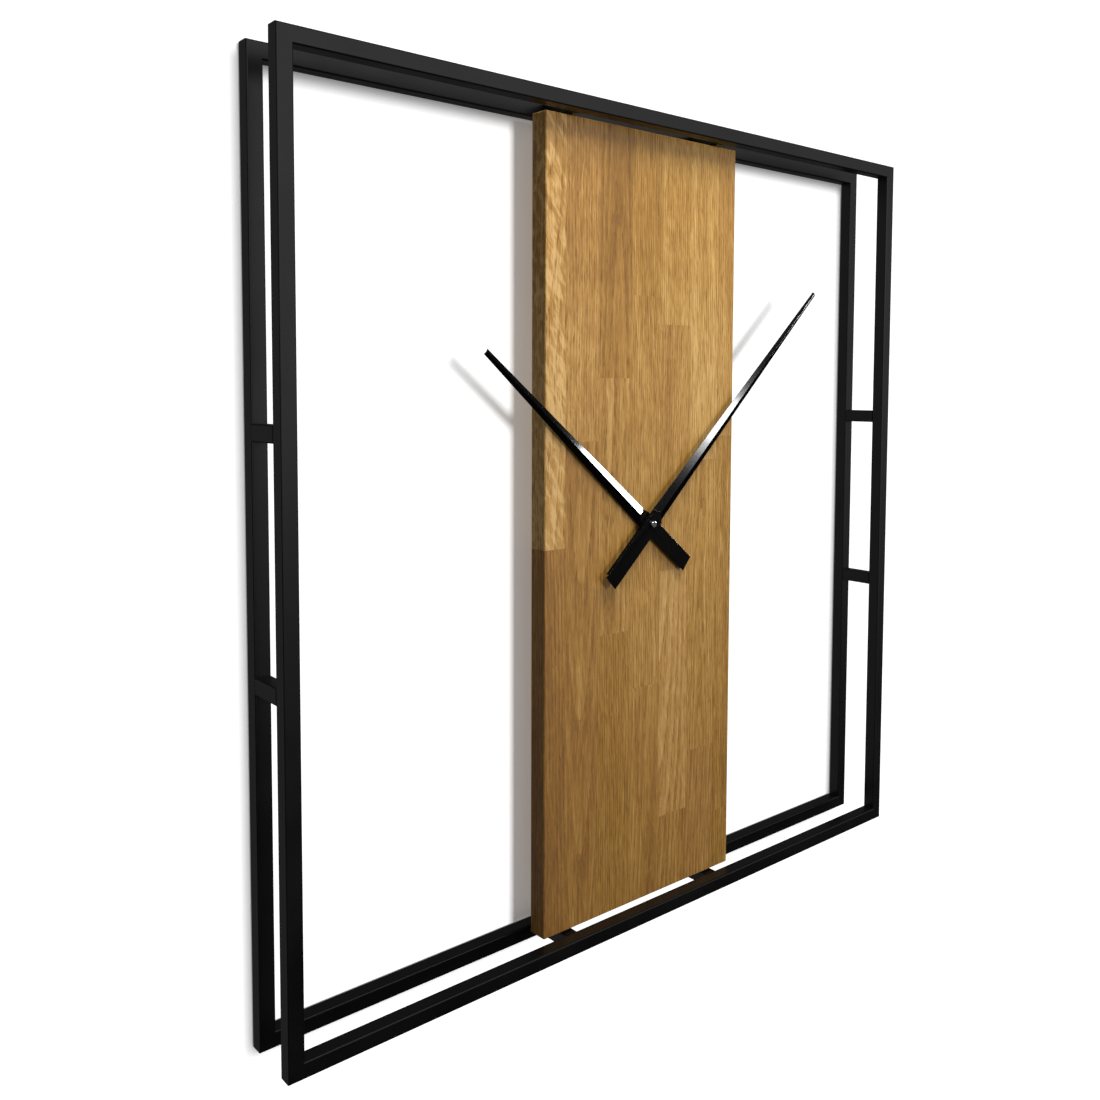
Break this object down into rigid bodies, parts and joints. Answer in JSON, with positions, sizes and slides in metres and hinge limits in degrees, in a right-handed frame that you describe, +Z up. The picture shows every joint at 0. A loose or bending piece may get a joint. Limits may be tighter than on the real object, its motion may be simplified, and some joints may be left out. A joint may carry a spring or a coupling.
{
  "type": "wall clock",
  "caption": "Square skeleton wall clock: two black steel square frames on spacers hold an upright oak panel with long folded black hands and a quartz movement.",
  "frame": {"origin": "on the wall plane, midway between the two hanging holes in the rear top bar", "axes": "+Z up, +Y into the wall, -Y is the front that is read, +X to the reader's right"},
  "size_m": [0.8, 0.065, 0.8],
  "materials": {
    "frame_black": "satin black powder coat",
    "oak": "oiled satin",
    "hand_black": "gloss black lacquer on aluminium sheet",
    "bright_steel": "satin zinc plate",
    "nylon": "black, matte",
    "gasket_rubber": "matte",
    "cap_nut_nickel": "black nickel plate, polished",
    "brass": "satin",
    "case_plastic": "matte, moulded",
    "plate_plastic": "matte, moulded",
    "gear_plastic": "satin acetal",
    "stator_steel": "annealed sheet",
    "coil_wire": "enamelled copper",
    "bobbin_plastic": "matte",
    "magnet": "sintered",
    "board": "solder mask",
    "chip_resin": "epoxy drop",
    "crystal_can": "polished",
    "contact_nickel": "nickel plate",
    "battery_sleeve": "printed foil sleeve, no lettering",
    "battery_steel": "nickel plate"
  },
  "bodies": {
    "clock_frame": {"front_top_bar": "frame_black", "front_right_bar": "frame_black", "front_bottom_bar": "frame_black", "front_left_bar": "frame_black", "rear_top_bar": "frame_black", "rear_right_bar": "frame_black", "rear_bottom_bar": "frame_black", "rear_left_bar": "frame_black", "top_spacers": "frame_black", "right_spacers": "frame_black", "bottom_spacers": "frame_black", "left_spacers": "frame_black", "oak_panel": "oak", "panel_washers": "nylon", "panel_screws": "bright_steel", "rubber_gasket": "gasket_rubber", "dial_washer": "brass", "hex_nut": "brass", "threaded_bushing": "brass", "movement_front_cover": "case_plastic", "movement_rear_case": "case_plastic", "middle_plate": "plate_plastic", "stator": "stator_steel", "coil_core": "stator_steel", "coil_bobbin": "bobbin_plastic", "coil_winding": "coil_wire", "circuit_board": "board", "timing_chip": "chip_resin", "quartz_crystal": "crystal_can", "positive_contact": "contact_nickel", "negative_contact": "contact_nickel"},
    "hour_hand_set": {"hour_hand": "hand_black", "hour_hand_collet": "brass", "hour_wheel": "gear_plastic"},
    "minute_hand_set": {"minute_hand": "hand_black", "minute_hand_collet": "brass", "minute_hand_nut": "cap_nut_nickel", "minute_arbor": "brass", "centre_wheel": "gear_plastic", "clutch_spring": "bright_steel"},
    "minute_wheel_set": {"minute_wheel": "gear_plastic"},
    "setting_knob_set": {"setting_knob": "case_plastic", "setting_pinion": "gear_plastic"},
    "third_wheel_set": {"third_wheel": "gear_plastic"},
    "seconds_wheel_set": {"seconds_wheel": "gear_plastic"},
    "fifth_wheel_set": {"fifth_wheel": "gear_plastic"},
    "rotor_set": {"rotor_pinion": "gear_plastic", "rotor_magnet": "magnet"},
    "battery_cell": {"battery": "battery_sleeve", "battery_terminal": "battery_steel"}
  },
  "joints": [
    {"name": "minute_hand_turn", "type": "hinge", "parent": "clock_frame", "child": "minute_hand_set", "pos_m": [0, 0, -0.393], "axis": [0, 1, 0], "continuous": true},
    {"name": "hour_hand_turn", "type": "hinge", "parent": "clock_frame", "child": "hour_hand_set", "pos_m": [0, 0, -0.393], "axis": [0, 1, 0], "continuous": true},
    {"name": "minute_wheel_turn", "type": "hinge", "parent": "clock_frame", "child": "minute_wheel_set", "pos_m": [-0.00386, 0, -0.3976], "axis": [0, 1, 0], "continuous": true},
    {"name": "setting_knob_turn", "type": "hinge", "parent": "clock_frame", "child": "setting_knob_set", "pos_m": [-0.01061, 0, -0.3976], "axis": [0, 1, 0], "continuous": true},
    {"name": "third_wheel_turn", "type": "hinge", "parent": "clock_frame", "child": "third_wheel_set", "pos_m": [-0.00624, 0, -0.3894], "axis": [0, 1, 0], "continuous": true},
    {"name": "seconds_wheel_turn", "type": "hinge", "parent": "clock_frame", "child": "seconds_wheel_set", "pos_m": [0, 0, -0.393], "axis": [0, 1, 0], "continuous": true},
    {"name": "fifth_wheel_turn", "type": "hinge", "parent": "clock_frame", "child": "fifth_wheel_set", "pos_m": [0.00536, 0, -0.3885], "axis": [0, 1, 0], "continuous": true},
    {"name": "rotor_turn", "type": "hinge", "parent": "clock_frame", "child": "rotor_set", "pos_m": [0.00896, 0, -0.38227], "axis": [0, 1, 0], "continuous": true},
    {"name": "battery_slide", "type": "slide", "parent": "clock_frame", "child": "battery_cell", "axis": [0, 1, 0], "range_m": [0, 0.016]}
  ],
  "couplings": [
    {"joint": "hour_hand_turn", "follows": "minute_hand_turn", "ratio": 0.083333},
    {"joint": "minute_wheel_turn", "follows": "minute_hand_turn", "ratio": -0.33333},
    {"joint": "setting_knob_turn", "follows": "minute_hand_turn", "ratio": 0.66667},
    {"joint": "third_wheel_turn", "follows": "minute_hand_turn", "ratio": -7.5},
    {"joint": "seconds_wheel_turn", "follows": "minute_hand_turn", "ratio": 60},
    {"joint": "fifth_wheel_turn", "follows": "minute_hand_turn", "ratio": -360},
    {"joint": "rotor_turn", "follows": "minute_hand_turn", "ratio": 1800}
  ]
}
